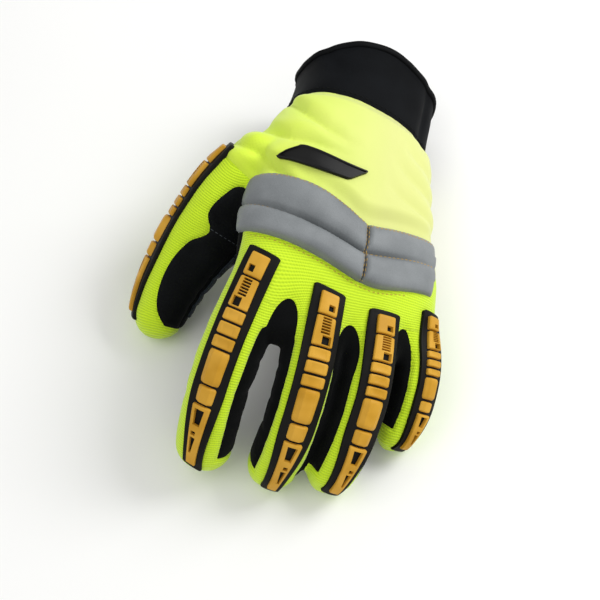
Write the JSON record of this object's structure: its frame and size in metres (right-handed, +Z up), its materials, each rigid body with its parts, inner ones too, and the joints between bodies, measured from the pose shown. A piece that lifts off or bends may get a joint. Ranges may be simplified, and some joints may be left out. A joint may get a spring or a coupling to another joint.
{
  "type": "impact glove",
  "caption": "Left-hand impact glove lying palm down: yellow knit back, amber guards on the fingers and thumb, grey padded knuckle bar, black cuff and palm.",
  "frame": {"origin": "centre of the bounding box in X and Y, on the surface the glove rests on", "axes": "+Z up; the fingers point to -Y and the cuff opens to +Y; the thumb is on the -X side"},
  "size_m": [0.157, 0.2248, 0.0831],
  "materials": {
    "knit_yellow": "high-visibility yellow-green knit with fine crosswise ribs, matt",
    "padded_yellow": "high-visibility yellow padded fabric, smooth and satin",
    "black_leather": "black synthetic leather, fine grain",
    "black_knit": "black stretch fabric of the strips between the fingers",
    "palm_texture": "blue-black reinforcement with a raised texture",
    "cuff_black": "black stretch sleeve, smooth and matt",
    "binding_black": "black woven binding",
    "black_rubber": "black moulded rubber, satin",
    "amber_rubber": "translucent amber moulded rubber, satin",
    "silver_reflective": "grey reflective fabric over padding, satin",
    "white_reflective": "white reflective tape, satin"
  },
  "bodies": {
    "root": {"cuff": "cuff_black", "cuff_binding": "binding_black", "index_front": "black_leather", "middle_front": "black_leather", "ring_front": "black_leather", "pinky_front": "black_leather", "thumb_front": "black_leather", "index_middle_fourchette": "black_knit", "middle_ring_fourchette": "black_knit", "ring_pinky_fourchette": "black_knit", "thumb_patch": "black_leather", "index_back": "knit_yellow", "middle_back": "knit_yellow", "ring_back": "knit_yellow", "pinky_back": "knit_yellow", "thumb_back": "knit_yellow", "palm": "black_leather", "wrist_back": "padded_yellow", "knuckle_back": "knit_yellow", "knuckle_bar_long": "silver_reflective", "knuckle_bar_short": "silver_reflective", "index_guard_base": "black_rubber", "index_guard_pads": "amber_rubber", "middle_guard_base": "black_rubber", "middle_guard_pads": "amber_rubber", "ring_guard_base": "black_rubber", "ring_guard_pads": "amber_rubber", "pinky_guard_base": "black_rubber", "pinky_guard_pads": "amber_rubber", "thumb_guard_base": "black_rubber", "thumb_guard_pads": "amber_rubber", "label_patch": "black_rubber", "palm_patch": "palm_texture", "wrist_reflector": "white_reflective", "cuff_reflector": "white_reflective"}
  },
  "joints": []
}
